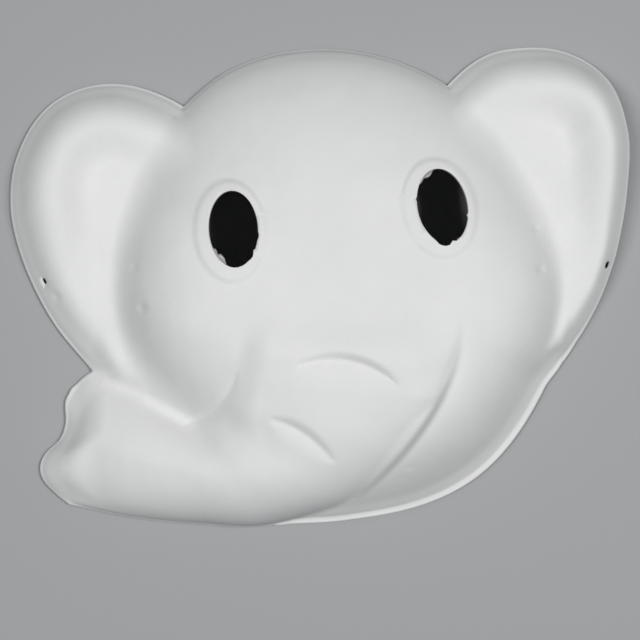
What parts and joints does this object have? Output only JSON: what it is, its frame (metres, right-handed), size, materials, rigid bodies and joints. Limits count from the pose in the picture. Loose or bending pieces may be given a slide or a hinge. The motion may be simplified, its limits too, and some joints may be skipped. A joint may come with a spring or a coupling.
{
  "type": "elephant mask",
  "caption": "Moulded paper pulp elephant face mask: a hollow domed head with dished ears, oval eye holes and a trunk that curls to one side, worn over the face.",
  "frame": {"origin": "on the resting plane, under the middle of the mask's outline", "axes": "+Z out of the face, +Y to the top of the head, +X to the ear that stands clear of the trunk"},
  "size_m": [0.2272, 0.1728, 0.0447],
  "materials": {
    "pulp": "matte white moulded pulp, smooth face, fibrous back"
  },
  "bodies": {
    "root": {"mask_shell": "pulp"}
  },
  "joints": []
}
